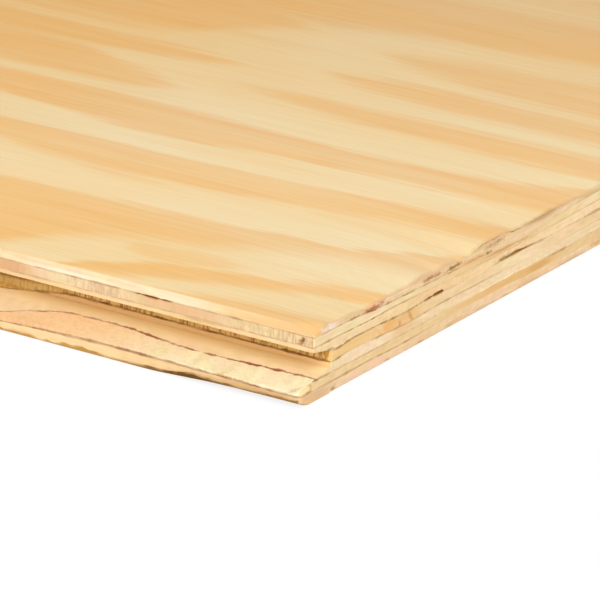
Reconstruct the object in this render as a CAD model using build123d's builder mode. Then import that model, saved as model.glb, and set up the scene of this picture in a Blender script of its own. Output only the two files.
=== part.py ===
"""Tongue-and-groove plywood underlayment panel: seven cross-laminated veneers, milled as one sheet.

X runs along the length and the face grain, the groove is along the -Y edge and the tongue along
the +Y edge. The sheet lies flat, face up, with the origin at the middle of its underside.
"""

import os
from math import radians, tan

from build123d import *

# Sheet, in millimetres
panel_length = 2438.4
face_width = 1206.5

# Veneer thicknesses after pressing; the face and the back are sanded
face_ply = 2.5
crossband_ply = 2.55
core_ply = 2.7
back_ply = 2.71

# Groove: a slot a little below the middle of the edge, widening at a set angle from its back to its mouth
groove_depth = 8.4
groove_root = 4.4
groove_drop = 0.7
flank_angle = 10.455

# The upper lip stands back from the lower one
lip_setback = 5.0

# Tongue: the same taper as the groove, less the play that lets it slide home and the faces meet first
flank_play = 0.35
end_play = 0.8
nose_radius = 0.9

# Veneers from the face down
plies = (
    ("face_veneer", face_ply),
    ("upper_crossband", crossband_ply),
    ("upper_core_ply", core_ply),
    ("centre_crossband", crossband_ply),
    ("lower_core_ply", core_ply),
    ("lower_crossband", crossband_ply),
    ("back_veneer", back_ply),
)

# Heights and places that follow from the sizes above
panel_thickness = sum(thickness for _, thickness in plies)
joint_height = panel_thickness / 2 - groove_drop
flank_slope = tan(radians(flank_angle))
upper_mouth = groove_root / 2 + flank_slope * groove_depth
lower_mouth = upper_mouth + flank_slope * lip_setback
tongue_reach = groove_depth - end_play
shoulder_setback = lip_setback + end_play
tongue_base = upper_mouth - flank_play
tongue_tip = tongue_base - flank_slope * tongue_reach
tongue_heel = tongue_base + flank_slope * shoulder_setback
overall_width = lip_setback + face_width + tongue_reach
lower_lip = -overall_width / 2
upper_lip = lower_lip + lip_setback
groove_back = upper_lip + groove_depth
upper_shoulder = upper_lip + face_width
lower_shoulder = upper_shoulder - shoulder_setback
tongue_end = overall_width / 2


def panel_section():
    """The whole sheet's milled section, with its width across the sketch and its thickness upright."""
    with BuildSketch() as section:
        with BuildLine():
            Polyline(
                (lower_lip, 0),
                (lower_lip, joint_height - lower_mouth),
                (groove_back, joint_height - groove_root / 2),
                (groove_back, joint_height + groove_root / 2),
                (upper_lip, joint_height + upper_mouth),
                (upper_lip, panel_thickness),
                (upper_shoulder, panel_thickness),
                (upper_shoulder, joint_height + tongue_base),
                (tongue_end, joint_height + tongue_tip),
                (tongue_end, joint_height - tongue_tip),
                (lower_shoulder, joint_height - tongue_heel),
                (lower_shoulder, 0),
                close=True,
            )
        make_face()
        fillet(section.vertices().group_by(Axis.X)[-1], radius=nose_radius)
    return section.sketch_local


sheet_section = panel_section()

os.makedirs("parts", exist_ok=True)

# Each veneer is the sheet's section between its two glue lines, run out along the length
ply_top = panel_thickness
for ply_name, ply_thickness in plies:
    with BuildPart() as veneer:
        with BuildSketch(Plane.YZ.offset(-panel_length / 2)):
            with Locations((0, ply_top - ply_thickness / 2)):
                Rectangle(overall_width, ply_thickness)
            add(sheet_section, mode=Mode.INTERSECT)
        extrude(amount=panel_length)
    veneer.part.label = ply_name
    export_step(veneer.part, f"parts/{ply_name}.step")
    ply_top -= ply_thickness
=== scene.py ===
"""Tongue-and-groove plywood underlayment panel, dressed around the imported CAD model.

Each of the seven veneers is one piece with worn and rough cut edges. Lengths are in millimetres
until a mesh or an object is made. Depths are counted from the face down.
"""

import math

import bpy
import numpy as np
from mathutils import Matrix, Vector


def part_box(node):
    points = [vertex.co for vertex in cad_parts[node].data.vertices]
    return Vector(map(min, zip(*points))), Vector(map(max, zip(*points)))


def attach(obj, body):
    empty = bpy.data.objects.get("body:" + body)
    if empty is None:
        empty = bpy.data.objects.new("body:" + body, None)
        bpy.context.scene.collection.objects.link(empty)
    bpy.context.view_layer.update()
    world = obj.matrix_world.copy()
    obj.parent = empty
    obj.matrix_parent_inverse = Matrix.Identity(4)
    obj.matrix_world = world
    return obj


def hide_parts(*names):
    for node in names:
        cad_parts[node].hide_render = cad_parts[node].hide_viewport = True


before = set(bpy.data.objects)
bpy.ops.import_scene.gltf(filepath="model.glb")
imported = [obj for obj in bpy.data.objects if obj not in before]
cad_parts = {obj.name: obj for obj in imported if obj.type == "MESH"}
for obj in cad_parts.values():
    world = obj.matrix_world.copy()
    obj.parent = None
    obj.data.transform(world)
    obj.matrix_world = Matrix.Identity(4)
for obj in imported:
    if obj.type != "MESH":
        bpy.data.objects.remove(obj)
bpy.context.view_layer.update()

MM = 0.001
PLIES = (
    "face_veneer",
    "upper_crossband",
    "upper_core_ply",
    "centre_crossband",
    "lower_core_ply",
    "lower_crossband",
    "back_veneer",
)
FACE, UPPER_CROSS, UPPER_CORE, CENTRE, LOWER_CORE, LOWER_CROSS, BACK = range(7)
NEAR_END, TONGUE, FAR_END, GROOVE = range(4)


def node_points(node):
    """Corners of a CAD node, in millimetres."""
    return np.array([v.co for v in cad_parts[node].data.vertices]) / MM


corners = np.vstack([node_points(ply) for ply in PLIES])
HALF_LENGTH = corners[:, 0].max()
THICKNESS = corners[:, 2].max()
LEVELS = [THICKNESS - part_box(ply)[1].z / MM for ply in PLIES] + [THICKNESS]


def edge_profile(sign):
    """Heights and offsets of one milled edge, read from the CAD corners on that side."""
    on_side = corners[corners[:, 1] * sign > 0]
    points = sorted({(round(z, 3), round(y, 3)) for _, y, z in on_side.tolist()})
    return np.array(points).T


groove_z, groove_y = edge_profile(-1)
tongue_z, tongue_y = edge_profile(1)
LIP = groove_y[-1]
SHOULDER = tongue_y[-1]
MIDDLE = (LIP + SHOULDER) / 2
HALF_FACE = (SHOULDER - LIP) / 2


# Shapes of lines and noise


def ease(value, low, high):
    """0 below low, 1 above high and a smooth step between."""
    t = np.clip((value - low) / (high - low), 0, 1)
    return t * t * (3 - 2 * t)


def course(points, places):
    """A smooth line through given (place, value) points, level beyond its ends."""
    at, value = np.array(points, float).T
    slope = np.gradient(value, at)
    slope[[0, -1]] = 0
    places = np.clip(places, at[0], at[-1])
    k = np.clip(np.searchsorted(at, places, side="right") - 1, 0, len(at) - 2)
    span = at[k + 1] - at[k]
    t = (places - at[k]) / span
    rest = 1 - t
    ends = value[k] * rest * rest * (1 + 2 * t) + value[k + 1] * t * t * (3 - 2 * t)
    bends = slope[k] * t * rest * rest - slope[k + 1] * t * t * rest
    return ends + bends * span


def hump(places, start, stop):
    """1 in the middle of a stretch, falling to 0 at its two ends."""
    t = np.clip((places - start) / (stop - start), 0, 1)
    return np.sqrt(np.sin(np.pi * t).clip(0))


def grit(u, v, period_u, period_v, seed, waves=14):
    """Seeded roughness about 0, with features near the given periods along u and v."""
    rng = np.random.default_rng(seed)
    total = 0
    for _ in range(waves):
        ku, kv = 2 * np.pi * rng.normal(0, 0.7, 2) / (period_u, period_v)
        total = total + np.cos(u * ku + v * kv + rng.uniform(0, 2 * np.pi))
    return total / math.sqrt(waves / 2)


# The ring of upright columns that all the veneers share


def walk(*zones):
    """Distances along a side; each zone gives where it ends and its step."""
    places = [0.0]
    for end, step in zones:
        count = round((end - places[-1]) / step)
        places += list(np.linspace(places[-1], end, count + 1)[1:])
    return np.array(places[:-1])


length = 2 * HALF_LENGTH
width = 2 * HALF_FACE

# The columns stand closest beside the photographed corner
on_near = walk((150, 0.3), (240, 1), (width, 2.5))
on_tongue = walk((30, 1), (length - 30, 4), (length, 1))
on_far = walk((width, 2.5))
on_groove = walk((length - 140, 3.5), (length - 95, 1), (length, 0.4))

sides = (on_near, on_tongue, on_far, on_groove)
side = np.repeat(range(4), [len(places) for places in sides])
ring_x = np.concatenate([
    np.full(len(on_near), HALF_LENGTH),
    HALF_LENGTH - on_tongue,
    np.full(len(on_far), -HALF_LENGTH),
    on_groove - HALF_LENGTH,
])
ring_y = np.concatenate([
    LIP + on_near,
    np.full(len(on_tongue), SHOULDER),
    SHOULDER - on_far,
    np.full(len(on_groove), LIP),
])
columns = len(side)
at_near = side == NEAR_END
at_groove = side == GROOVE
on_end = at_near | (side == FAR_END)
from_corner = HALF_LENGTH - ring_x

# On the ends the columns lean over to meet the milled edges, within this distance of them
LEAN_REACH = 40.0
groove_share = np.clip(1 - (ring_y - LIP) / LEAN_REACH, 0, 1)
tongue_share = np.clip(1 - (SHOULDER - ring_y) / LEAN_REACH, 0, 1)


def across(depth):
    """Place across the sheet of each column at these depths, along the milled edges."""
    height = THICKNESS - depth
    groove = np.interp(height, groove_z, groove_y) - LIP
    tongue = np.interp(height, tongue_z, tongue_y) - SHOULDER
    return ring_y + groove_share * groove + tongue_share * tongue


# Glue lines: line n lies on top of veneer n. How deep each runs on the near end and on the groove
# edge, by distance from the corner

END_COURSES = {
    1: ((0, 2.5), (10, 2.5), (17, 2.6), (32, 3.3), (42, 3.5), (55, 3.6), (70, 4), (88, 4.4),
        (104, 4.6), (116, 3.6), (130, 2.9), (142, 2.6), (170, 2.5)),
    2: ((0, 5), (10, 4.95), (25, 5.2), (36, 5), (50, 5.3), (65, 5.6), (88, 5.8), (104, 5.9),
        (116, 5.6), (142, 5.3), (170, 5.05)),
    3: ((6, 7.3), (10, 7.85), (18, 7.5), (30, 7.6), (42, 8), (56, 7.5), (70, 8), (85, 8),
        (97, 7.6), (112, 8.1), (125, 8), (141, 8), (170, 7.75)),
    4: ((8, 10.6), (18, 10.15), (30, 10.6), (42, 11), (60, 10.6), (78, 10.7), (110, 11.1),
        (142, 10.8), (170, 10.3)),
    5: ((0, 13.1), (12, 13.2), (40, 13.3), (75, 13.2), (100, 13.1), (122, 13.7), (142, 13.4),
        (170, 13)),
    6: ((-5, 15.5), (0, 15.4), (12, 15.5), (25, 15.4), (40, 15.7), (60, 15.3), (90, 15.4),
        (115, 15.9), (142, 15.8), (170, 15.55)),
}
GROOVE_COURSES = {
    1: ((0, 2.5), (90, 2.5)),
    2: ((0, 5), (90, 5)),
    3: ((0, 7.5), (90, 7.75)),
    4: ((0, 10.7), (20, 10.85), (50, 10.8), (66, 10.75), (73, 10.8), (77, 11.35), (82, 12.03),
        (86.5, 12.28), (91, 12.47), (105, 12.2), (128, 10.7)),
    5: ((0, 13.15), (15, 13.23), (25, 13.33), (35, 13.33), (45, 13.16), (50, 13.03), (64, 13),
        (70.5, 13.09), (75.5, 13.46), (79.5, 13.77), (83, 14.2), (86, 14.4), (100, 14.1),
        (125, 13.1)),
    6: ((0, 15.45), (70, 15.45), (80, 15.94), (87, 16.24), (100, 16), (125, 15.6)),
}

# Where the placed lines hand over to the waver of the rest of the sheet
NEAR_HANDOVER = (145, 180)
GROOVE_HANDOVER = (105, 140)

# Waver of every line: its height, its turn for each millimetre of x and y, and for each line
WAVER = ((0.10, 1 / 61, 0, 1.7), (0.08, 1 / 210, 1 / 47, 2.3), (0.04, 1 / 19, 1 / 19, 0.9))
TORN_LINE = 0.013

# Open gaps: glue line, side, start, stop, then how far it opens up and down
GAPS = (
    (1, GROOVE, 38, 49, 0.12, 0.26), (1, NEAR_END, 23, 27, 0.12, 0.10),
    (1, NEAR_END, 61.5, 68, 0.10, 0.10), (3, NEAR_END, 50.8, 56, 0.16, 0.18),
    (3, NEAR_END, 54.4, 60.4, 0.40, 0.38), (3, NEAR_END, 94.6, 99, 0.07, 0.07),
)


def glue_depth(line):
    """Depth of one glue line at every column."""
    level = np.full(columns, LEVELS[line])
    depth = level.copy()
    for height, turn_x, turn_y, phase in WAVER:
        depth += height * np.sin(turn_x * ring_x + turn_y * ring_y + phase * line)
    place = across(level) - LIP
    near = at_near * (1 - ease(place, *NEAR_HANDOVER))
    groove = at_groove * (1 - ease(from_corner, *GROOVE_HANDOVER))
    torn = TORN_LINE * grit(ring_x, ring_y, 1.6, 1.6, 110 + line)
    depth = depth * (1 - near) + course(END_COURSES[line], place) * near
    return depth * (1 - groove) + (course(GROOVE_COURSES[line], from_corner) + torn) * groove


depths = [None] + [glue_depth(line) for line in range(UPPER_CROSS, len(PLIES))]
depths.append(np.full(columns, THICKNESS))


def place_on(where):
    """Distance of every column from the near corner, along the side in question."""
    return ring_y - LIP if where == NEAR_END else from_corner


def gap(line, upward):
    """How far a glue line stands open at every column, up or down."""
    total = np.zeros(columns)
    for at, where, start, stop, up, down in GAPS:
        if at == line:
            open_by = (up if upward else down) * hump(place_on(where), start, stop)
            total = np.maximum(total, open_by * (side == where))
    return total * (1 + 0.3 * grit(ring_x, ring_y, 2.5, 2.5, 40 + line))


# Over-sanded near end of the face: how low its arris lies, by distance from the corner
WORN_ARRIS = (
    (0, 1.3), (8, 1.3), (19, 1.5), (23, 2), (28, 1.7), (36, 1.5), (42, 1.6), (46, 1.2), (49, 0.9),
    (53, 1.3), (57, 1.7), (61, 1.3), (66, 2), (70, 2.2), (74, 1.8), (79, 0.9), (84, 0.8),
    (90, 0.8), (95, 1.4), (104, 1.5), (112, 1.3), (119, 1.3), (127, 1.5), (134, 1.7), (145, 1.2),
    (180, 0.6), (260, 0.4),
)
WORN_FROM_EDGE = 12.0
SNIPE_REACH = 32.0
SNIPE_CURVE = 1.4
MOST_WORN = 2.4

# Crushed near corner of the face, saw splinters along its far end and its eased long arrises
CRUSH_DROP, CRUSH_ALONG, CRUSH_IN = 2.1, 6.5, 6.0
FAR_DROP, FAR_REACH = 0.4, 0.8
SPLINTER_DROP, SPLINTER_REACH = 0.35, 1.6
ARRIS_DROP, ARRIS_REACH = 0.16, 0.5

# Worn underside of the lower lip: the depth where its upright face ends, by distance from the
# corner, and how far it stands back for each millimetre below that
LIP_FOOT = (
    (0, 17.05), (12, 17.13), (22, 17.3), (25, 17.4), (30, 17.7), (34, 17.92), (37, 18.1),
    (40, 18.22), (43, 18.26),
)
LIP_SLANT = 2.4
LIP_WEAR_REACH = 12.0
lip_foot = np.where(ring_y - LIP < LIP_WEAR_REACH, course(LIP_FOOT, from_corner), THICKNESS)


def lip_loss(depth):
    """How far the worn underside of the lower lip stands back at these depths."""
    reach = np.clip(1 - (ring_y - LIP) / LIP_WEAR_REACH, 0, 1)
    return LIP_SLANT * np.clip(depth - lip_foot, 0, None) * reach


def slope_off(gone, drop, reach):
    """How low a worn face lies at this distance in from its end."""
    return drop * np.clip(1 - gone / reach, 0, 1) ** SNIPE_CURVE


def face_drop(x, y):
    """How far the worn face lies below its sanded level at these places."""
    end = HALF_LENGTH - x
    edge = y - LIP
    drop = CRUSH_DROP * np.clip(1 - edge / CRUSH_ALONG, 0, 1) * np.clip(1 - end / CRUSH_IN, 0, 1)
    worn = course(WORN_ARRIS, edge) * (1 + 0.05 * grit(x, y, 9, 4, 7))
    drop = np.maximum(drop, slope_off(end, worn * ease(edge, 0, WORN_FROM_EDGE), SNIPE_REACH))
    far = HALF_LENGTH + x
    splinter = grit(x, y, 9, 7, 11).clip(0) * SPLINTER_DROP
    splinter = splinter * np.clip(1 - far / SPLINTER_REACH, 0, 1)
    drop = np.maximum(drop, slope_off(far, FAR_DROP, FAR_REACH) + splinter)
    for gone in (edge, SHOULDER - y):
        drop = np.maximum(drop, ARRIS_DROP * np.clip(1 - gone / ARRIS_REACH, 0, 1))
    return drop.clip(0, MOST_WORN)


# Colours, as sRGB values out of 255


def rgb(red, green, blue):
    """A linear colour from sRGB values."""
    c = np.array((red, green, blue)) / 255
    return np.where(c <= 0.04045, c / 12.92, ((c + 0.055) / 1.055) ** 2.4)


def rgba(red, green, blue):
    """The same with full cover, for a node's colour socket."""
    return (*rgb(red, green, blue).tolist(), 1)


# Veneers from the face down, on the sawn ends and on the milled edges
END_TONES = (
    (237, 204, 158), (239, 213, 163), (242, 209, 159), (239, 209, 161), (239, 212, 168),
    (233, 201, 148), (236, 205, 162),
)
EDGE_TONES = (
    (245, 221, 176), (236, 208, 162), (243, 207, 153), (243, 207, 133), (243, 221, 176),
    (250, 235, 194), (243, 208, 156),
)
# Flank and back of the groove in the lower core: where each colour starts and where it is full.
# The flank turns paler, and the back darker as painted shade of the groove's recess
GROOVE_TONES_AND_SHADE = ((2.5, 6.5, (252, 229, 176)), (7.6, 8.3, (246, 208, 148)))

# Splinter hole in the upper crossband: its place along the groove edge, its depth and its lean.
# It is dented in, and its dark colour is painted shade inside it
HOLE_AT, HOLE_DEPTH, HOLE_LEAN = 3.35, 3.95, 0.55

# Stains, painted shadows and painted highlights by veneer and side: place from the corner, depth,
# half length, half height, colour, strength and the lean of those that lean. Later ones lie over
# earlier ones, and small ones have the more ragged outline.
SMALL_SPOT = 6
SMALL_RAGGED, LARGE_RAGGED = 0.5, 0.08
STAINS_AND_PAINTED_LIGHT = {
    (FACE, GROOVE): (
        # The pale mark 67 from the corner is a painted highlight along the arris
        (6, 1.2, 20, 3, (244, 198, 140), 1), (67, 2, 13, 0.6, (254, 240, 216), 0.7),
        (36, 1.2, 9, 2.5, (248, 228, 192), 0.8),
    ),
    (UPPER_CROSS, GROOVE): (
        (37, 3.8, 13, 3, (230, 186, 139), 0.9), (85, 3.8, 8, 3, (222, 170, 121), 0.9),
        # Dark spot of painted shade inside the splinter hole
        (HOLE_AT, HOLE_DEPTH, 0.5, 1, (160, 104, 30), 0.9, HOLE_LEAN),
    ),
    (UPPER_CORE, GROOVE): ((31, 5.35, 6.5, 0.35, (222, 176, 112), 0.85),),
    # Painted shadow of the upper lip along the top of the groove's back wall
    (CENTRE, GROOVE): ((92, 9.75, 13, 0.55, (160, 112, 50), 0.9),),
    (LOWER_CROSS, GROOVE): (
        (70, 14.5, 25, 4, (249, 208, 156), 0.9), (78, 15.4, 13, 1.3, (240, 190, 136), 0.9),
        (2.6, 14.6, 0.35, 0.8, (206, 160, 100), 0.8, 2.3),
        (21, 15.1, 2.4, 0.32, (216, 158, 86), 0.9), (15.5, 15.2, 2.2, 0.25, (206, 152, 90), 0.8),
    ),
    (BACK, GROOVE): (
        (12, 17, 20, 2, (212, 170, 117), 1), (70, 16.4, 24, 0.6, (244, 211, 158), 0.8),
    ),
    (FACE, NEAR_END): (
        # The dark mark 110 along is painted shadow under a broken bevel of the arris
        (72, 3.6, 10, 0.7, (228, 180, 122), 0.9), (110, 1.5, 9, 1.1, (192, 152, 98), 0.9),
        (51, 1.4, 8, 0.9, (232, 186, 142), 0.8), (86, 1.2, 8, 0.8, (228, 184, 142), 0.8),
        (1.5, 1.6, 3, 1.6, (246, 190, 130), 1), (7.5, 1.9, 3.5, 1.2, (246, 224, 202), 1),
        (24, 1.6, 3.5, 0.8, (242, 184, 128), 0.9), (26.5, 2.65, 4.8, 0.5, (184, 108, 78), 1, 0.05),
        (18, 2.6, 2.2, 0.2, (190, 120, 90), 0.8, 0.05), (52.5, 2.4, 2.2, 0.36, (166, 114, 62), 0.9),
        (56.5, 2.7, 2.4, 0.36, (186, 120, 80), 0.85, 0.3),
        (65, 2.8, 3.2, 0.4, (150, 102, 52), 0.95), (74, 3.95, 3.6, 0.5, (200, 148, 82), 0.9),
        (79, 4.1, 1.4, 0.4, (176, 124, 66), 0.85), (82, 4, 1.3, 0.55, (146, 106, 56), 0.9),
        (83, 2.4, 2.2, 0.45, (190, 142, 96), 0.8), (87, 2.2, 2.6, 0.4, (172, 136, 80), 0.85),
        (136, 2.3, 6, 0.5, (212, 176, 120), 0.85),
    ),
    (UPPER_CROSS, NEAR_END): (
        (84, 4.7, 22, 1.2, (236, 194, 140), 0.8), (90, 4.9, 9, 0.5, (206, 154, 92), 0.9),
        (101, 5.2, 4, 0.3, (206, 156, 100), 0.7),
    ),
    (UPPER_CORE, NEAR_END): (
        (18.8, 7.5, 0.9, 0.4, (160, 116, 62), 0.9), (92, 7.5, 3.2, 0.35, (140, 106, 54), 0.9),
        (97, 7.5, 3, 0.35, (140, 106, 54), 0.9), (141, 7.9, 5, 0.4, (178, 142, 94), 0.9),
        (7, 7.2, 1.2, 0.4, (150, 112, 60), 0.8),
    ),
    (CENTRE, NEAR_END): (
        (95, 7.8, 7, 0.25, (160, 124, 70), 0.8), (141, 8.1, 6, 0.3, (184, 148, 100), 0.8),
        (18, 9.2, 13, 2.5, (239, 198, 134), 1), (34.5, 9.5, 3.4, 2, (238, 174, 98), 1),
        (42, 9.4, 9, 2, (234, 186, 124), 0.9), (39.8, 10.2, 0.4, 0.8, (204, 146, 78), 0.9),
        (44.7, 9.6, 0.45, 1.4, (206, 156, 88), 0.9, 0.9),
    ),
    (LOWER_CORE, NEAR_END): ((42, 12, 7, 1.6, (233, 192, 142), 0.9),),
    (LOWER_CROSS, NEAR_END): (
        (-2.5, 15, 2.7, 1.6, (250, 224, 170), 1), (-0.4, 14.2, 0.35, 0.9, (212, 160, 88), 0.85),
        (-1.6, 15.2, 1.4, 0.3, (180, 122, 52), 0.95), (1.4, 13.25, 1.3, 0.28, (140, 84, 52), 0.9),
        (92, 14.4, 26, 2, (226, 183, 119), 0.9), (110, 14.6, 7, 1.2, (218, 164, 94), 0.8),
    ),
    (BACK, NEAR_END): (
        (19, 17, 2.4, 1.2, (245, 200, 172), 0.8), (29, 16.6, 4, 0.9, (245, 200, 170), 0.8),
        (2, 17, 8, 2.2, (219, 182, 138), 0.95), (9.8, 17.6, 0.9, 0.5, (186, 138, 92), 0.9),
        (-2.5, 17.2, 3, 1.4, (236, 192, 138), 0.7), (68, 17.2, 4, 0.5, (228, 178, 130), 0.7, 0.1),
        (128, 17.7, 7, 0.6, (206, 176, 134), 0.7), (50, 17.8, 1.4, 0.3, (206, 160, 112), 0.8),
        (64.5, 17.8, 1.4, 0.4, (204, 176, 126), 0.8), (82, 17.7, 4, 0.4, (214, 178, 130), 0.7),
        (93, 17.8, 1.6, 0.35, (200, 168, 120), 0.8), (34.5, 17.7, 1.4, 0.35, (208, 164, 110), 0.8),
        (105, 17.6, 5, 0.4, (216, 178, 132), 0.7), (142, 17, 3, 0.6, (216, 166, 106), 0.8),
    ),
}

# Glue colours: on the near end, by line on the groove edge, and where line 5 fades there. Number
# 7 on the groove edge is painted shade along the lower rim
END_GLUE = (168, 126, 70)
GROOVE_GLUE_AND_RIM_SHADE = {
    1: (190, 148, 108), 2: (206, 170, 128), 3: (150, 108, 60), 4: (132, 90, 44), 5: (156, 98, 64),
    6: (150, 98, 66), 7: (110, 72, 8),
}
FADED_GLUE = (176, 132, 104)
FADES = (46, 58)

# How clearly the frayed arris (0) and each glue line show along the near end
LINE_SHOWS = {
    0: ((0, 0), (15, 0.1), (28, 0.35), (50, 0.4), (66, 0.6), (72, 0.9), (112, 0.9), (128, 0.5),
        (150, 0.4)),
    1: ((0, 0.5), (12, 0.8), (45, 0.9), (60, 0.5), (120, 0.3), (150, 0.6)),
    2: ((0, 0.7), (38, 0.9), (46, 0.4), (60, 0.3), (95, 0.5), (108, 0.3), (132, 0.6), (150, 0.6)),
    3: ((6, 1), (50, 1), (62, 0.5), (68, 0.2), (84, 0.2), (90, 1), (110, 0.8),
        (118, 0.2), (134, 0.6)),
    4: ((8, 0.9), (14, 0.5), (30, 0.9), (48, 0.8), (66, 0.7), (84, 0.5), (92, 0.25), (150, 0.4)),
    5: ((0, 0.9), (8, 0.5), (34, 0.6), (46, 0.3), (60, 0.1), (112, 0.2), (119, 1),
        (127, 0.3), (150, 0.4)),
    6: ((-5, 0.8), (10, 0.8), (45, 0.8), (60, 0.3), (150, 0.3)),
}

# Where a line is thicker: line, side, start, stop and what it adds to half the thickness
BLOBS = (
    (1, GROOVE, 38.5, 48, 0.06), (2, GROOVE, 25, 37, 0.08),
    (5, GROOVE, 3, 9.5, 0.12), (5, GROOVE, 9.2, 14, 0.26),
    (5, GROOVE, 15.2, 20.5, 0.20), (5, GROOVE, 34, 43, 0.10),
    (5, GROOVE, 44.5, 49.5, 0.06), (6, GROOVE, 20, 44, 0.08),
    (6, GROOVE, 38, 74, 0.12), (6, GROOVE, 41, 52, 0.12), (1, NEAR_END, 22, 31, 0.10),
    (3, NEAR_END, 51, 61, 0.10), (3, NEAR_END, 86, 112, 0.10), (6, NEAR_END, 1.4, 4.8, 0.16),
    (6, NEAR_END, 11, 13, 0.14), (5, NEAR_END, 116, 125, 0.14),
)

# Painted shade along the lower rim of the groove edge, where its worn underside turns away from
# the light: its thickness and its darkness by distance from the corner
SHADED_RIM = (
    (0, 0.55), (20, 0.62), (24, 0.85), (29, 1.05), (35, 0.95), (41, 0.72), (55, 0.72), (59, 0.95),
    (63, 0.9), (68, 1), (71, 0.85), (84, 0.9), (120, 0.6),
)
SHADED_RIM_DARKNESS = ((0, 0.45), (17, 0.45), (23, 0.8), (27, 1), (35, 1), (39, 0.7), (44, 0.3), (120, 0.2))
SHADED_RIM_PALE = (166, 122, 58)
NO_LINE = -9.0


def line_width(line):
    """Half the visible thickness of a glue line at every column; the last is the painted-shade rim.
    """
    if line == FACE:
        frayed = 0.06 + 0.12 * grit(ring_x, ring_y, 7, 7, 50)
        return np.where(at_near, frayed, NO_LINE)
    # Band of painted shade along the worn lower rim of the groove edge
    if line == len(PLIES):
        rim = course(SHADED_RIM, from_corner) * (1 + 0.25 * grit(ring_x, ring_y, 9, 9, 61))
        return np.where(at_groove, rim, NO_LINE)
    half = 0.10 + 0.06 * grit(ring_x, ring_y, 6, 6, 50 + line)
    if line == LOWER_CORE:
        half = np.where(at_groove, half + 0.08, half)
    if line == LOWER_CROSS:
        shreds = 0.08 * grit(ring_x, ring_y, 1.8, 1.8, 59)
        half = np.where(at_groove, 0.06 + 1.4 * half + shreds, half)
    for at, where, start, stop, extra in BLOBS:
        if at == line:
            half = half + extra * hump(place_on(where), start, stop) * (side == where)
    return half


def line_tone(line):
    """Colour of a glue line at every column; the last line is the painted-shade rim."""
    tone = np.tile(rgb(*END_GLUE), (columns, 1))
    if line in LINE_SHOWS:
        hidden = (1 - course(LINE_SHOWS[line], ring_y - LIP)) * at_near
        tone += hidden[:, None] * (rgb(*END_TONES[line]) - tone)
    tone[~on_end] = rgb(*GROOVE_GLUE_AND_RIM_SHADE.get(line, END_GLUE))
    if line == LOWER_CROSS:
        pale = ease(from_corner, *FADES) * at_groove
        tone += pale[:, None] * (rgb(*FADED_GLUE) - tone)
    # Painted rim shade, paler where it is set less dark
    if line == len(PLIES):
        pale = (1 - course(SHADED_RIM_DARKNESS, from_corner)) * at_groove
        tone += pale[:, None] * (rgb(*SHADED_RIM_PALE) - tone)
    return tone


# How a change of lightness falls on red, green and blue
SWELL_TINT = np.array((0.5, 1, 2))
MOTTLE_TINT = np.array((1, 1.3, 1.9))
HUE_TINT = np.array((0.6, -0.8, 0.9))
RUBBED_TINT = np.array((0.10, 0.16, 0.22))


def plain_tone(ply, x, y, depth):
    """Colour of a veneer's cut edges at each vertex, with painted groove shade, before stains and
    grain.
    """
    base = np.where(on_end[:, None], rgb(*END_TONES[ply]), rgb(*EDGE_TONES[ply]))
    if ply == CENTRE:
        base = np.where((side == TONGUE)[:, None], rgb(*END_TONES[ply]), base)
    run = np.where(on_end, y, x)
    swell = 1 + 0.03 * grit(x, y, 60, 60, 70 + ply)
    mottle = 0.022 * grit(run, depth, 4.5, 1.6, 80 + ply)
    hue = 0.018 * grit(run, depth, 9, 3, 180 + ply)
    tone = base * swell[..., None] ** SWELL_TINT
    tone *= np.exp(mottle[..., None] * MOTTLE_TINT)
    tone *= np.exp(hue[..., None] * HUE_TINT)
    if ply == LOWER_CORE:
        # Paler across the groove's flank, then painted shade darkening its back
        for start, stop, colour in GROOVE_TONES_AND_SHADE:
            behind = ease(y - LIP, start, stop) * at_groove
            tone += behind[..., None] * (rgb(*colour) - tone)
    if ply == FACE:
        rubbed = (1 - ease(depth, 1, 2.6)) * at_near
        tone *= np.exp(-rubbed[..., None] * RUBBED_TINT)
    return tone


def cut_tone(ply, x, y, depth):
    """Colour of a veneer's cut edges at each vertex, with stains, painted shadows and highlights.
    """
    tone = plain_tone(ply, x, y, depth)
    ragged = grit(np.where(on_end, y, x), depth, 2, 0.8, 280 + ply).clip(-1.4, 1.4)
    for (at, where), spots in STAINS_AND_PAINTED_LIGHT.items():
        if at != ply:
            continue
        along = y - LIP if where == NEAR_END else HALF_LENGTH - x
        for place, deep, half_long, half_high, colour, strength, *lean in spots:
            over = along - place - sum(lean) * (depth - deep)
            blob = (over / half_long) ** 2 + ((depth - deep) / half_high) ** 2
            uneven = 1 + ragged * (SMALL_RAGGED if half_long < SMALL_SPOT else LARGE_RAGGED)
            share = strength * np.exp(-((blob * uneven) ** 1.5)) * (side == where)
            tone += share[..., None] * (rgb(*colour) - tone)
    return tone


# Hatching of end grain, and how deep tears, saw strokes, ridges, splinters, the hole and the
# rounding of the lower rim go
USUAL_HATCH = 0.22
TORN, SAWN, RIDGED, SPLINTERED, HOLE, ROUNDED = 0.045, 0.03, 0.16, 0.14, 0.9, 0.3
HOLE_HALF_LONG, HOLE_HALF_HIGH = 0.4, 0.75
ROUNDING_FROM, ROUNDING_HIGH = 17.7, 0.56


def cut_hatch(ply):
    """How strongly the end grain is hatched at every column."""
    hatch = np.full(columns, USUAL_HATCH)
    if ply == UPPER_CROSS:
        splintered = 1 - 0.7 * ease(from_corner, 15, 26)
        splintered = np.maximum(splintered, 0.9 * hump(from_corner, 48, 70))
        hatch = np.where(at_groove, 0.5 * splintered, hatch)
    if ply == CENTRE:
        hatch = np.where(at_groove, 1 - 0.65 * hump(from_corner, 74, 126), hatch)
    return hatch


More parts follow.
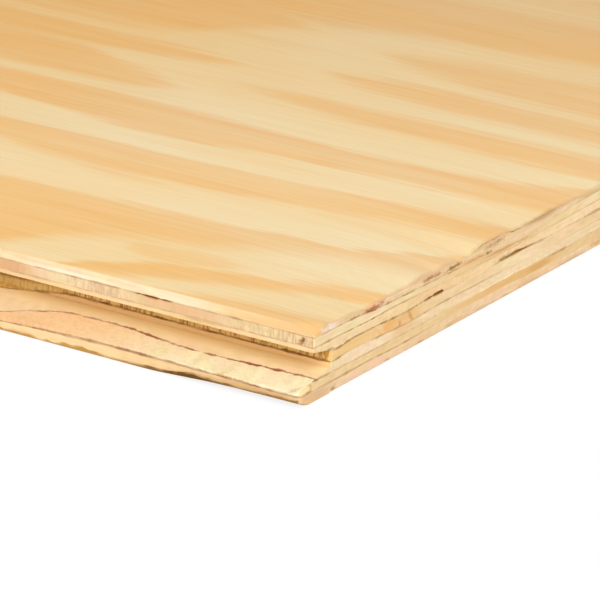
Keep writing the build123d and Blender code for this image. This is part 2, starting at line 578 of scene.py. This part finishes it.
def cut_relief(ply, x, y, depth):
    """How far the cut edges stand back from the trimmed plane, from saw and cutter marks."""
    end_grain = on_end == (ply % 2 == 0)
    along = np.where(on_end, y, x)
    torn = TORN * grit(along, depth, 1.3, 6, 20 + ply).clip(0)
    sawn = SAWN * grit(along, depth, 14, 0.8, 30 + ply).clip(0)
    relief = np.where(end_grain, torn, sawn)
    if ply == CENTRE:
        ridges = RIDGED * grit(along, depth, 1.6, 9, 90).clip(0)
        relief = np.where(at_groove, ridges, relief)
    if ply == UPPER_CROSS:
        gone = HALF_LENGTH - x
        splinters = SPLINTERED * grit(along, depth, 1.2, 4, 91).clip(0)
        splinters = splinters * (1 - ease(gone, 16, 26))
        over = (gone - HOLE_AT - HOLE_LEAN * (depth - HOLE_DEPTH)) / HOLE_HALF_LONG
        under = (depth - HOLE_DEPTH) / HOLE_HALF_HIGH
        hole = HOLE * np.exp(-(over**4) - under**4)
        relief = np.where(at_groove, relief + splinters + hole, relief)
    if ply == BACK:
        rounded = ROUNDED * np.clip((depth - ROUNDING_FROM) / ROUNDING_HIGH, 0, 1) ** 2
        relief = relief + np.where(lip_foot < THICKNESS, 0, rounded)
    return relief


# Building the veneers

# Fine steps down the sheet, and how far the rows travel with them; sloping flanks count for more
FINE_STEPS = 3000
FLANK_PULL = 0.25
fine_depth = np.linspace(0, THICKNESS, FINE_STEPS + 1)
fine_groove = np.interp(THICKNESS - fine_depth, groove_z, groove_y)
fine_tongue = np.interp(THICKNESS - fine_depth, tongue_z, tongue_y)
flanks = FLANK_PULL * np.abs(np.diff(fine_groove)) + FLANK_PULL * np.abs(np.diff(fine_tongue))
travel = np.concatenate([[0], np.cumsum(np.diff(fine_depth) + flanks)])


def bend_depths():
    """Depths at which the groove's section turns a corner."""
    slope = np.diff(groove_y) / np.maximum(np.diff(groove_z), 1e-6)
    turns = np.abs(np.diff(np.arctan(slope))) > 0.1
    return THICKNESS - groove_z[1:-1][turns]


def surface_path(offsets):
    """Distance along a milled edge from the face down, at each of the fine depths."""
    return np.concatenate([[0], np.cumsum(np.hypot(np.diff(fine_depth), np.diff(offsets)))])


groove_path = surface_path(fine_groove)
tongue_path = surface_path(fine_tongue)


def along_surface(depth):
    """Distance down the cut surface at these depths, at every column."""
    groove = np.interp(depth, fine_depth, groove_path)
    tongue = np.interp(depth, fine_depth, tongue_path)
    return np.where(at_groove, groove, np.where(side == TONGUE, tongue, depth))


def row_depths(high, low, rows):
    """Depths of a veneer's rows at every column, closer on the sloping flanks."""
    share = np.linspace(0, 1, rows)[:, None]
    start = np.interp(high, fine_depth, travel)
    stop = np.interp(low, fine_depth, travel)
    depth = np.interp(start + (stop - start) * share, travel, fine_depth)
    depth[0] = high
    depth[-1] = low
    every = np.arange(columns)
    for bend in bend_depths():
        nearest = np.abs(depth[1:-1] - bend).argmin(0) + 1
        inside = (bend > high + 0.05) & (bend < low - 0.05)
        depth[nearest[inside], every[inside]] = bend
    return depth


def round_corner(x, y, radius):
    """Takes the sharp edge off the near corner."""
    first = y[:, :1]
    run = np.where(at_near, y - first, HALF_LENGTH - x)
    inset = radius - np.sqrt(np.clip(radius**2 - np.clip(radius - run, 0, radius) ** 2, 0, None))
    x = np.where(at_near, x - inset, x)
    y = np.where(at_groove, y + inset, y)
    return x, y


def inset_ring(x, y, distance):
    """A ring drawn in from the outline by about this distance."""
    return x * (1 - distance / HALF_LENGTH), MIDDLE + (y - MIDDLE) * (1 - distance / HALF_FACE)


outward_x = np.select([at_near, side == FAR_END], [1, -1], 0)
outward_y = np.select([side == TONGUE, at_groove], [1, -1], 0)

# By veneer: rows of vertices down the cut edges, and the radius of the near corner
ROWS = (11, 11, 14, 11, 15, 17, 12)
CORNER_RADII = (0.25, 0.25, 0.15, 0.1, 0.2, 1.4, 1.4)

# How far in the rings of the faces lie, and how far in the face's arris is rubbed
FACE_RINGS = (0.35, 0.8, 1.4, 2.2, 3.4, 5.2, 8.0, 13.0, 19.0, 26.0, 33.0)
INNER_RINGS = (4.0, 14.0)
WORN_REACH = np.where(at_near, 1.6, 0.6)

# Materials of a piece, in order, and the angle from which its edges look sharp
FLAT_FACE, CUT_ALONG, CUT_ACROSS = range(3)
SHARP_ANGLE = 38

# What the vertices carry for the materials, and what they carry where nothing is given
CARRIED = {"stain": (0.0,) * 3, "line_colours_and_rim_shade": (0.0,) * 3, "seam": 1.0, "hatch": 0.0, "wear": 0.0}


def quads(upper, lower):
    """Faces between two rings of vertex numbers, seen from outside with upper above."""
    return np.stack([upper, lower, np.roll(lower, -1), np.roll(upper, -1)], 1)


class Veneer:
    """One veneer's vertices and faces, gathered ring by ring."""

    def __init__(self):
        self.points = []
        self.carried = {name: [] for name in CARRIED}
        self.faces = []
        self.slots = []

    def ring(self, x, y, depth, **given):
        """Adds a ring of vertices and gives their numbers."""
        start = len(self.points) * columns
        self.points.append(np.stack([x, y, np.broadcast_to(THICKNESS - depth, columns)], 1))
        for name, usual in CARRIED.items():
            shape = (columns, *np.shape(usual))
            self.carried[name].append(np.broadcast_to(given.get(name, usual), shape))
        return np.arange(start, start + columns)

    def skirt(self, upper, lower, slots):
        """Joins two rings."""
        self.faces += quads(upper, lower).tolist()
        self.slots += np.broadcast_to(slots, columns).tolist()

    def cap(self, ring):
        """Closes the middle of a face."""
        self.faces.append(ring.tolist())
        self.slots.append(FLAT_FACE)


def cut_edges(shape, ply):
    """Adds a veneer's cut edges, row by row; gives the rows' vertex numbers and places."""
    high = face_drop(ring_x, ring_y) if ply == FACE else depths[ply] + gap(ply, False)
    low = depths[ply + 1] - (gap(ply + 1, True) if ply < BACK else 0)
    depth = row_depths(high, low, ROWS[ply])
    x = np.broadcast_to(ring_x, depth.shape)
    y = across(depth)
    tone = cut_tone(ply, x, y, depth)
    relief = cut_relief(ply, x, y, depth)
    hatch = cut_hatch(ply)
    y = y + lip_loss(depth)
    x, y = round_corner(x - outward_x * relief, y - outward_y * relief, CORNER_RADII[ply])

    reached = along_surface(depth)
    above = reached - along_surface(high) - line_width(ply)
    below = along_surface(np.minimum(low, lip_foot)) - reached - line_width(ply + 1)
    seam = np.minimum(above, below)
    line_colours_and_rim_shade = np.where((above < below)[..., None], line_tone(ply), line_tone(ply + 1))

    rings = []
    for row in range(ROWS[ply]):
        marks = {"stain": tone[row], "line_colours_and_rim_shade": line_colours_and_rim_shade[row], "seam": seam[row], "hatch": hatch}
        rings.append(shape.ring(x[row], y[row], depth[row], wear=1.0, **marks))
    hatched = ~on_end & (ply % 2 == 1)
    for upper, lower in zip(rings, rings[1:]):
        shape.skirt(upper, lower, np.where(hatched, CUT_ACROSS, CUT_ALONG))
    return rings, x, y


def flat_face(shape, ply, outer, x, y, upward):
    """Closes a veneer's upper or lower face with rings drawn in from its outline."""
    line = ply if upward else ply + 1
    for distance in FACE_RINGS if line == FACE else INNER_RINGS:
        rx, ry = inset_ring(x, y, distance)
        if line == FACE:
            level = face_drop(rx, ry)
        else:
            level = depths[line] if distance == INNER_RINGS[0] else LEVELS[line]
        worn = np.clip(1 - distance / WORN_REACH, 0, 1)
        drawn = shape.ring(rx, ry, level, stain=cut_tone(ply, rx, ry, level), wear=worn)
        above, below = (drawn, outer) if upward else (outer, drawn)
        shape.skirt(above, below, FLAT_FACE)
        outer = drawn
    shape.cap(outer if upward else outer[::-1])


def write_attribute(mesh, name, values):
    """Stores one colour or one number per vertex."""
    if values.ndim == 2:
        layer = mesh.attributes.new(name, "FLOAT_COLOR", "POINT")
        colours = np.concatenate([values, np.ones((len(values), 1))], 1)
        layer.data.foreach_set("color", colours.ravel().astype(np.float32))
    else:
        layer = mesh.attributes.new(name, "FLOAT", "POINT")
        layer.data.foreach_set("value", values.astype(np.float32))


def new_object(name, data):
    """A new object in the scene."""
    made = bpy.data.objects.new(name, data)
    bpy.context.scene.collection.objects.link(made)
    return made


def veneer_piece(ply, *materials):
    """Makes one veneer as a piece and puts it in place of its CAD node."""
    shape = Veneer()
    rings, x, y = cut_edges(shape, ply)
    flat_face(shape, ply, rings[0], x[0], y[0], True)
    flat_face(shape, ply, rings[-1], x[-1], y[-1], False)
    name = PLIES[ply]
    mesh = bpy.data.meshes.new(name)
    mesh.from_pydata((np.vstack(shape.points) * MM).tolist(), [], shape.faces)
    for mark, values in shape.carried.items():
        write_attribute(mesh, mark, np.concatenate(values))
    for look in materials:
        mesh.materials.append(look)
    mesh.polygons.foreach_set("material_index", shape.slots)
    mesh.shade_smooth()
    mesh.set_sharp_from_angle(angle=math.radians(SHARP_ANGLE))
    mesh.validate()
    piece = new_object("ply_" + name, mesh)
    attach(piece, "root")
    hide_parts(name)


# Materials

# Noise keeps mostly between these two values
GRAIN_LOW, GRAIN_HIGH = 0.3, 0.7


class Graph:
    """Short calls for building the nodes of a material or of the world."""

    def __init__(self, owner):
        owner.use_nodes = True
        self.owner = owner
        self.nodes = owner.node_tree.nodes
        self.links = owner.node_tree.links

    def feed(self, socket, value):
        """Links a socket to another one or gives it a value."""
        if isinstance(value, bpy.types.NodeSocket):
            self.links.new(value, socket)
        else:
            socket.default_value = value

    def node(self, kind, *values, **settings):
        """A new node with its settings and its first inputs."""
        made = self.nodes.new("ShaderNode" + kind)
        for key, value in settings.items():
            setattr(made, key, value)
        for socket, value in zip(made.inputs, values):
            self.feed(socket, value)
        return made

    def math(self, operation, *values):
        return self.node("Math", *values, operation=operation).outputs[0]

    def plus(self, a, b):
        return self.math("ADD", a, b)

    def minus(self, a, b):
        return self.math("SUBTRACT", a, b)

    def times(self, a, b):
        return self.math("MULTIPLY", a, b)

    def rest(self, share):
        return self.minus(1, share)

    def remap(self, value, *ranges):
        return self.node("MapRange", value, *ranges).outputs[0]

    def ease(self, value, low, high):
        """0 below low, 1 above high and a smooth step between."""
        made = self.node("MapRange", value, low, high, 0, 1, interpolation_type="SMOOTHSTEP")
        return made.outputs[0]

    def mix(self, share, a, b, blend="MIX"):
        made = self.node("Mix", share, data_type="RGBA", blend_type=blend)
        self.feed(made.inputs[6], a)
        self.feed(made.inputs[7], b)
        return made.outputs[2]

    def tinted(self, share, colour, tint):
        """A colour multiplied by a tint, as far as the share goes."""
        return self.mix(share, colour, self.mix(1, colour, tint, "MULTIPLY"))

    def shade(self, wood, grain, dark, light, warm, cool):
        """Wood made darker and lighter by its grain, green and blue by their own powers."""
        level = self.remap(grain, GRAIN_LOW, GRAIN_HIGH, dark, light)
        green = self.math("POWER", level, warm)
        blue = self.math("POWER", level, cool)
        tint = self.node("CombineColor", level, green, blue).outputs[0]
        return self.mix(1, wood, tint, "MULTIPLY")

    def place(self):
        """Place on the object, in millimetres, as three separate numbers."""
        coordinates = self.node("TexCoord").outputs["Object"]
        scaled = self.node("VectorMath", coordinates, operation="SCALE")
        self.feed(scaled.inputs["Scale"], 1 / MM)
        return self.node("SeparateXYZ", scaled.outputs[0]).outputs

    def vector(self, place, scale):
        """A place of three numbers, each with its own scale."""
        scaled = [self.times(value, factor) for value, factor in zip(place, scale)]
        return self.node("CombineXYZ", *scaled).outputs[0]

    def noise(self, place, scale, detail=2.0, roughness=0.5):
        made = self.node("TexNoise", self.vector(place, scale))
        self.feed(made.inputs["Scale"], 1.0)
        self.feed(made.inputs["Detail"], detail)
        self.feed(made.inputs["Roughness"], roughness)
        return made.outputs[0]

    def attribute(self, name, output="Fac"):
        return self.node("Attribute", attribute_name=name).outputs[output]

    def line(self, value, points):
        """A smooth line through given points over the face's near part, in millimetres."""
        curve = self.node("FloatCurve", 1, value)
        spots = curve.mapping.curves[0].points
        high = BAND_HIGH - BAND_LOW
        placed = [((a - BAND_START) / -BAND_START, (b - BAND_LOW) / high) for a, b in points]
        while len(spots) < len(placed):
            spots.new(0.5, 0.5)
        for spot, location in zip(spots, placed):
            spot.location = location
        curve.mapping.update()
        return self.plus(self.times(curve.outputs[0], high), BAND_LOW)

    def bump(self, height, strength, distance):
        made = self.node("Bump")
        self.feed(made.inputs["Strength"], strength)
        self.feed(made.inputs["Distance"], distance * MM)
        self.feed(made.inputs["Height"], height)
        self.feed(self.nodes["Principled BSDF"].inputs["Normal"], made.outputs[0])

    def finish(self, colour, roughness, specular):
        surface = self.nodes["Principled BSDF"].inputs
        self.feed(surface["Base Color"], colour)
        self.feed(surface["Roughness"], roughness)
        self.feed(surface["Specular IOR Level"], specular)
        return self.owner


def material(name):
    """The nodes of a new material."""
    return Graph(bpy.data.materials.new(name))


def glue_share(g, place):
    """How much of a glue line or the painted rim shade shows on a cut edge: ragged, patchy where
    thin.
    """
    seam = g.attribute("seam")
    ragged = g.noise(place, (1.2, 1.2, 1.2), 3, 0.6)
    edge = g.plus(seam, g.times(g.minus(ragged, 0.5), 0.22))
    patchy = g.noise(place, (0.2, 0.2, 0.4))
    faint = g.remap(patchy, 0.36, 0.62, 0.36, 1)
    thick = g.rest(g.ease(seam, -0.42, -0.12))
    line = g.rest(g.ease(edge, -0.08, 0.24))
    return g.times(line, g.math("MAXIMUM", faint, thick))


# Cut edges: the tint of the hatching, and how dark and light end grain and side grain are
STROKE_TINT = (0.50, 0.36, 0.18, 1.0)
END_SHADES = (0.95, 1.03)
SIDE_SHADES = (0.92, 1.04)


def cut_material(name, end_grain):
    """Cut edge of a veneer: torn end grain is hatched upright, side grain is streaked along it."""
    g = material(name)
    place = g.place()
    if end_grain:
        coarse = g.noise(place, (0.8, 0.8, 0.16), 3, 0.6)
        fine = g.noise(place, (2.6, 2.6, 0.4), 2, 0.6)
    else:
        coarse = g.noise(place, (0.05, 0.05, 1.6), 3, 0.6)
        fine = g.noise(place, (0.22, 0.22, 7), 2, 0.6)
    grain = g.plus(g.times(coarse, 0.6), g.times(fine, 0.4))
    dark, light = END_SHADES if end_grain else SIDE_SHADES
    wood = g.shade(g.attribute("stain", "Color"), grain, dark, light, 1.5, 2.2)
    if end_grain:
        stroke = g.times(g.ease(grain, 0.44, 0.60), g.attribute("hatch"))
        wood = g.tinted(stroke, wood, STROKE_TINT)
    # Glue lines, and the painted shade along the groove edge's lower rim
    colour = g.mix(glue_share(g, place), wood, g.attribute("line_colours_and_rim_shade", "Color"))
    g.bump(grain, 0.25, 0.25)
    return g.finish(colour, 0.72, 0.25)


# Latewood bands on the face near the corner, in millimetres from it: x runs back along the groove
# edge (negative), y in across the sheet. Each has a lower and an upper edge, the softness of the
# two and a strength. The bands start this far back, and their edges keep between two places.
BAND_START = -240
BAND_LOW, BAND_HIGH = -30, 300
BANDS = (
    (((-240, -12), (-60, -8), (-30, -6), (0, -5)),
     ((-240, -10), (-60, -3), (-30, 3.5), (0, 6.5)), 2, 2.5, 0.95),
    (((-240, -20), (-74, -6), (-66, -1), (-55, 2), (-40, 8.5), (-20, 15.5), (0, 21.5)),
     ((-240, -16), (-74, -2), (-66, 5), (-55, 13), (-40, 19), (-20, 24.5), (0, 30)), 3, 2.5, 1),
    (((-240, 30), (-70, 23), (-58, 17), (-42, 19), (-34, 24), (0, 30)),
     ((-240, 22), (-70, 22), (-58, 26), (-42, 28), (-34, 25), (0, 28)), 3, 3, 0.6),
    (((-240, -30), (-130, -14), (-100, -5), (-90, 4), (-80, 17), (-66, 26), (-50, 32), (-30, 42),
      (0, 48)),
     ((-240, 42), (-110, 46), (-80, 47.5), (-60, 49.5), (-40, 51), (-20, 54), (-8, 60), (0, 64)),
     8, 1.6, 0.95),
    (((-240, 80), (-140, 72), (-120, 68), (-100, 66), (-60, 71), (-40, 75), (0, 79)),
     ((-240, 86), (-140, 87), (-80, 88), (-40, 90), (0, 92)), 4, 2.5, 0.95),
    (((-240, 108), (-150, 104), (-120, 100), (-80, 103), (-40, 107), (0, 108)),
     ((-240, 120), (-170, 124), (-140, 126), (-80, 121.5), (-40, 121), (-20, 124), (0, 132)),
     2.5, 3, 1),
    (((-240, 170), (-128, 156), (-110, 151), (-90, 146), (-60, 143), (0, 141)),
     ((-240, 150), (-128, 152), (-110, 154), (-90, 156), (-60, 157), (0, 158)), 3.5, 3.5, 0.95),
    (((-240, 205), (-112, 184), (-98, 175), (-82, 170), (-60, 168), (0, 168)),
     ((-240, 176), (-112, 179), (-98, 181), (-82, 183), (-60, 184), (0, 184)), 4, 4, 0.95),
    (((-240, 225), (-104, 207), (-92, 200), (-72, 194), (-50, 190), (0, 188)),
     ((-240, 200), (-104, 205), (-92, 208), (-72, 213), (-50, 215), (0, 217)), 5, 5, 0.9),
    (((-240, 132), (-200, 131), (-160, 130.5), (-140, 132), (-124, 139), (0, 160)),
     ((-240, 158), (-200, 158), (-170, 157), (-155, 150), (-140, 146), (-124, 138), (0, 120)),
     4, 4, 1),
    (((-240, 156), (-200, 156), (-170, 157), (-155, 160), (-140, 163), (-118, 169), (0, 190)),
     ((-240, 178), (-200, 175), (-160, 173), (-140, 172), (-118, 167), (0, 150)), 4, 4, 1),
    (((-240, 182), (-200, 180), (-170, 181), (-156, 187), (-146, 199), (-128, 213), (0, 250)),
     ((-240, 236), (-200, 236), (-170, 234), (-150, 230), (-128, 214), (0, 170)), 8, 7, 0.95),
    (((-240, 222), (-160, 222), (-130, 219), (-110, 224), (-80, 231), (0, 236)),
     ((-240, 262), (-160, 266), (-120, 270), (-80, 272), (0, 278)), 7, 8, 1),
)


def near_bands(g, x, y):
    """Share of latewood near the photographed corner."""
    place = g.math("DIVIDE", g.minus(x, BAND_START), -BAND_START)
    jitter = g.noise((x, y, 0), (0.022, 0.3, 1), 4, 0.65)
    ruffled = g.plus(y, g.times(g.minus(jitter, 0.5), 12))
    total = None
    for lower, upper, soft_low, soft_high, strength in BANDS:
        rise = g.ease(g.minus(ruffled, g.line(place, lower)), -soft_low, soft_low)
        fall = g.ease(g.minus(g.line(place, upper), ruffled), -soft_high, soft_high)
        band = g.times(g.times(rise, fall), strength)
        total = band if total is None else g.math("MAXIMUM", total, band)
    return total


def sheet_bands(g, x, y, seed, pitch):
    """Share of latewood over a whole peeled veneer: long wavering bands with pointed ends."""
    hills = g.noise((x, y, seed), (0.0012, 0.0052, 1), 1, 0.4)
    wander = g.noise((x, y, seed + 3), (0.005, 0.025, 1))
    height = g.plus(g.times(hills, 260.0 / pitch), g.times(wander, 14.0 / pitch))
    height = g.plus(height, g.times(y, 0.12 / pitch))
    turn = g.math("FRACT", height)
    rise = g.ease(turn, 0.15, 0.72)
    fall = g.rest(g.ease(turn, 0.86, 0.98))
    return g.times(rise, fall)


def fibre(g, x, y, seed):
    """Fine streaks of the fibres along the sheet."""
    fine = g.noise((x, y, seed), (0.018, 1.1, 1), 3, 0.6)
    pores = g.noise((x, y, seed + 5), (0.06, 2.6, 1), 2, 0.6)
    return g.plus(g.times(fine, 0.65), g.times(pores, 0.35))


# Face: earlywood and latewood, each plain, tanned and golden, the tint of browning with painted
# fall-off shade, and the tint of worn wood
EARLY, EARLY_TAN, EARLY_GOLD = (246, 224, 177), (246, 216, 161), (247, 214, 152)
LATE, LATE_TAN, LATE_GOLD = (241, 195, 134), (243, 191, 118), (244, 187, 103)
BROWN_AND_FALLOFF_TINT = (0.83, 0.79, 0.68, 1.0)
WORN_TINT = (0.93, 0.88, 0.84, 1.0)

# The growth rings slant through the veneer: how far a band moves for each millimetre worn off
RINGS_SLANT_X, RINGS_SLANT_Y = 1.4, 2.4


def browning_and_falloff_shade(g, x, y, back, inward):
    """How brown the face is: pale at the near corner, browner away as painted fall-off shade,
    uneven.
    """
    away = g.minus(g.times(inward, 0.87), g.times(back, 0.5))
    near = g.remap(away, 100, 300)
    slow = g.noise((x, y, 21), (0.0012, 0.0035, 1), 1, 0.4)
    paler = g.times(g.ease(slow, 0.28, 0.64), g.ease(away, 320, 620))
    return g.times(near, g.rest(g.times(paler, 0.8)))


def face_share(g, x, y, back, inward, brown_and_falloff_shade):
    """Share of latewood on the face: placed bands near the corner, procedural ones beyond."""
    reach_x = g.ease(back, BAND_START, -205)
    reach_y = g.rest(g.ease(inward, 268, 300))
    beyond = sheet_bands(g, x, y, 4, 26)
    near = near_bands(g, back, inward)
    share = g.mix(g.times(reach_x, reach_y), beyond, near)
    share = g.node("SeparateColor", share).outputs[0]
    uneven = g.noise((x, y, 14), (0.010, 0.16, 1), 3, 0.6)
    share = g.times(share, g.remap(uneven, GRAIN_LOW, GRAIN_HIGH, 0.62, 1.05))
    smear = g.times(g.ease(uneven, 0.5, 0.8), 0.35)
    share = g.math("MAXIMUM", share, smear)
    # More latewood where the browning and painted fall-off shade go
    browner_and_shaded = g.times(g.times(brown_and_falloff_shade, 0.38), g.rest(share))
    return g.plus(share, browner_and_shaded)


def face_wood(g, x, y, back, inward, share):
    """Colour of the face's bands, golden in patches, beside the groove and farther back."""
    patch = g.ease(g.noise((x, y, 9), (0.006, 0.02, 1)), 0.35, 0.65)
    early = g.mix(patch, rgba(*EARLY), rgba(*EARLY_TAN))
    late = g.mix(patch, rgba(*LATE), rgba(*LATE_TAN))
    aside = g.rest(g.times(g.ease(back, -60, -20), 0.6))
    warmth = g.times(aside, g.rest(g.ease(inward, 15, 60)))
    golden = g.minus(g.ease(back, -460, -260), g.ease(back, -170, -110))
    warmth = g.math("MAXIMUM", warmth, g.times(golden, 0.75))
    early = g.mix(g.times(warmth, 0.6), early, rgba(*EARLY_GOLD))
    late = g.mix(warmth, late, rgba(*LATE_GOLD))
    return g.mix(share, early, late)


def face_material():
    """Sanded face of pine: pale earlywood and honey-coloured latewood bands."""
    g = material("face_pine_sanded")
    x, y, z = g.place()
    worn_off = g.minus(float(THICKNESS), z)
    back = g.minus(x, float(HALF_LENGTH))
    back = g.plus(back, g.times(worn_off, RINGS_SLANT_X))
    inward = g.minus(y, float(LIP))
    inward = g.minus(inward, g.times(worn_off, RINGS_SLANT_Y))
    brown_and_falloff_shade = browning_and_falloff_shade(g, x, y, back, inward)
    share = face_share(g, x, y, back, inward, brown_and_falloff_shade)
    wood = face_wood(g, x, y, back, inward, share)
    streak = fibre(g, x, y, 1)
    wood = g.shade(wood, streak, 0.94, 1.03, 1.3, 2)
    # Browning and painted fall-off shade away from the near corner
    wood = g.tinted(brown_and_falloff_shade, wood, BROWN_AND_FALLOFF_TINT)
    ragged = g.noise((x, y, 3), (0.9, 0.6, 1), 3, 0.6)
    worn = g.plus(g.attribute("wear"), g.minus(ragged, 0.5))
    worn = g.ease(worn, 0.25, 0.9)
    wood = g.tinted(worn, wood, WORN_TINT)
    colour = g.mix(g.times(worn, 0.4), wood, g.attribute("stain", "Color"))
    g.bump(streak, 0.15, 0.15)
    return g.finish(colour, g.remap(streak, GRAIN_LOW, GRAIN_HIGH, 0.62, 0.52), 0.3)


# Underside and glued faces
BACK_EARLY, BACK_LATE, KNOT = (236, 202, 148), (216, 160, 100), (120, 66, 32)
GLUED_DARK, GLUED_PALE = (176, 112, 44), (204, 146, 72)


def back_material():
    """Underside: touch-sanded veneer, redder, with a few tight knots."""
    g = material("back_pine")
    x, y, _ = g.place()
    cells = g.node("TexVoronoi", voronoi_dimensions="2D")
    g.feed(cells.inputs["Vector"], g.vector((x, y, 0), (0.0022, 0.0035, 1)))
    g.feed(cells.inputs["Scale"], 1.0)
    away = cells.outputs["Distance"]
    swirl = g.times(g.rest(g.ease(away, 0, 0.16)), 55)
    around = g.plus(y, swirl)
    streak = fibre(g, x, around, 7)
    wood = g.mix(sheet_bands(g, x, around, 17, 22), rgba(*BACK_EARLY), rgba(*BACK_LATE))
    wood = g.mix(g.ease(away, 0.012, 0.034), rgba(*KNOT), wood)
    g.bump(streak, 0.3, 0.3)
    return g.finish(g.shade(wood, streak, 0.86, 1.05, 1, 1.6), 0.68, 0.25)


def inner_material():
    """Glued faces between the veneers, seen only through an open gap."""
    g = material("glued_face")
    x, y, _ = g.place()
    streak = g.noise((x, y, 0), (0.05, 0.05, 1), 3)
    return g.finish(g.mix(streak, rgba(*GLUED_DARK), rgba(*GLUED_PALE)), 0.8, 0.2)


cut_along = cut_material("cut_streaked", False)
cut_across = cut_material("cut_hatched", True)
inner_faces = inner_material()
flat_faces = [face_material()] + [inner_faces] * (len(PLIES) - 2) + [back_material()]
for ply, faces in enumerate(flat_faces):
    veneer_piece(ply, faces, cut_along, cut_across)


# Floor, light and camera

# Floor, world and key light, in metres and watts
FLOOR_REACH, FLOOR_HEIGHT = 40.0, -0.0002
FLOOR_GREY, WHITE = (0.9, 0.9, 0.9, 1.0), (1.0, 1.0, 1.0, 1.0)
FLOOR_GLOW, FLOOR_GLOW_SHARE = 1.05, 0.8
WORLD_LIGHT, WORLD_SEEN = 0.60, 1.0
KEY_SIZE, KEY_POWER = 6.0, 592.0
KEY_PLACE = (5.38, -6.535, 5.66)


def background_rays(g):
    """1 for rays that carry the background to the eye: camera, glossy and transmission rays."""
    path = g.node("LightPath").outputs
    seen = g.math("MAXIMUM", path["Is Camera Ray"], path["Is Glossy Ray"])
    return g.math("MAXIMUM", seen, path["Is Transmission Ray"])


def make_floor():
    """A wide pale floor that reads white and keeps a soft shadow."""
    g = material("floor_white")
    surface = g.finish(FLOOR_GREY, 1.0, 0.0)
    glow = g.node("Emission", WHITE, FLOOR_GLOW).outputs[0]
    share = g.times(background_rays(g), FLOOR_GLOW_SHARE)
    plain = g.nodes["Principled BSDF"].outputs[0]
    blend = g.node("MixShader", share, plain, glow).outputs[0]
    g.feed(g.nodes["Material Output"].inputs["Surface"], blend)
    mesh = bpy.data.meshes.new("floor")
    turns = ((-1, -1), (1, -1), (1, 1), (-1, 1))
    spots = [(a * FLOOR_REACH, b * FLOOR_REACH, FLOOR_HEIGHT) for a, b in turns]
    mesh.from_pydata(spots, [], [(0, 1, 2, 3)])
    mesh.materials.append(surface)
    floor = new_object("floor", mesh)


def make_world():
    """Even white surroundings."""
    world = bpy.data.worlds.new("studio")
    bpy.context.scene.world = world
    g = Graph(world)
    shown = g.nodes["Background"].inputs
    g.feed(shown["Color"], WHITE)
    g.feed(shown["Strength"], g.remap(background_rays(g), 0.0, 1.0, WORLD_LIGHT, WORLD_SEEN))


def make_key():
    """A large soft light from the front right, high enough to shine into the groove."""
    lamp = bpy.data.lights.new("key", "AREA")
    lamp.shape = "DISK"
    lamp.size = KEY_SIZE
    lamp.energy = KEY_POWER
    key = new_object("key", lamp)
    key.location = KEY_PLACE
    aim = Vector((HALF_LENGTH, LIP, 0)) * MM - key.location
    key.rotation_euler = aim.to_track_quat("-Z", "Y").to_euler()


# Camera: its angles in degrees, its place from the near corner and its lens in millimetres, and the
# nearest and farthest it sees in metres
CAMERA_AZIMUTH, CAMERA_ELEVATION, CAMERA_ROLL = 30.2855, 19.6117, 3.1047
CAMERA_AWAY, CAMERA_RIGHT, CAMERA_UP = 900.0, -2.45, 23.58
LENS, SENSOR = 236.95, 36.0
SEEN_FROM, SEEN_TO = 0.05, 200.0


def make_camera():
    """Looks at the near grooved corner from the photograph's angle."""
    turn = math.radians(CAMERA_AZIMUTH)
    lift = math.radians(CAMERA_ELEVATION)
    roll = math.radians(CAMERA_ROLL)
    back = Vector((
        math.sin(turn) * math.cos(lift), -math.cos(turn) * math.cos(lift), math.sin(lift)
    ))
    level = Vector((math.cos(turn), math.sin(turn), 0))
    upright = back.cross(level)
    right = math.cos(roll) * level + math.sin(roll) * upright
    up = math.cos(roll) * upright - math.sin(roll) * level
    corner = Vector((HALF_LENGTH, LIP, 0))
    place = corner + CAMERA_RIGHT * right + CAMERA_UP * up + CAMERA_AWAY * back
    lens = bpy.data.cameras.new("camera")
    lens.lens = LENS
    lens.sensor_width = SENSOR
    lens.clip_start = SEEN_FROM
    lens.clip_end = SEEN_TO
    camera = new_object("camera", lens)
    axes = Matrix((right, up, back)).transposed().to_4x4()
    axes.translation = place * MM
    camera.matrix_world = axes
    bpy.context.scene.camera = camera


make_floor()
make_world()
make_key()
make_camera()
bpy.context.scene.view_settings.view_transform = "Standard"
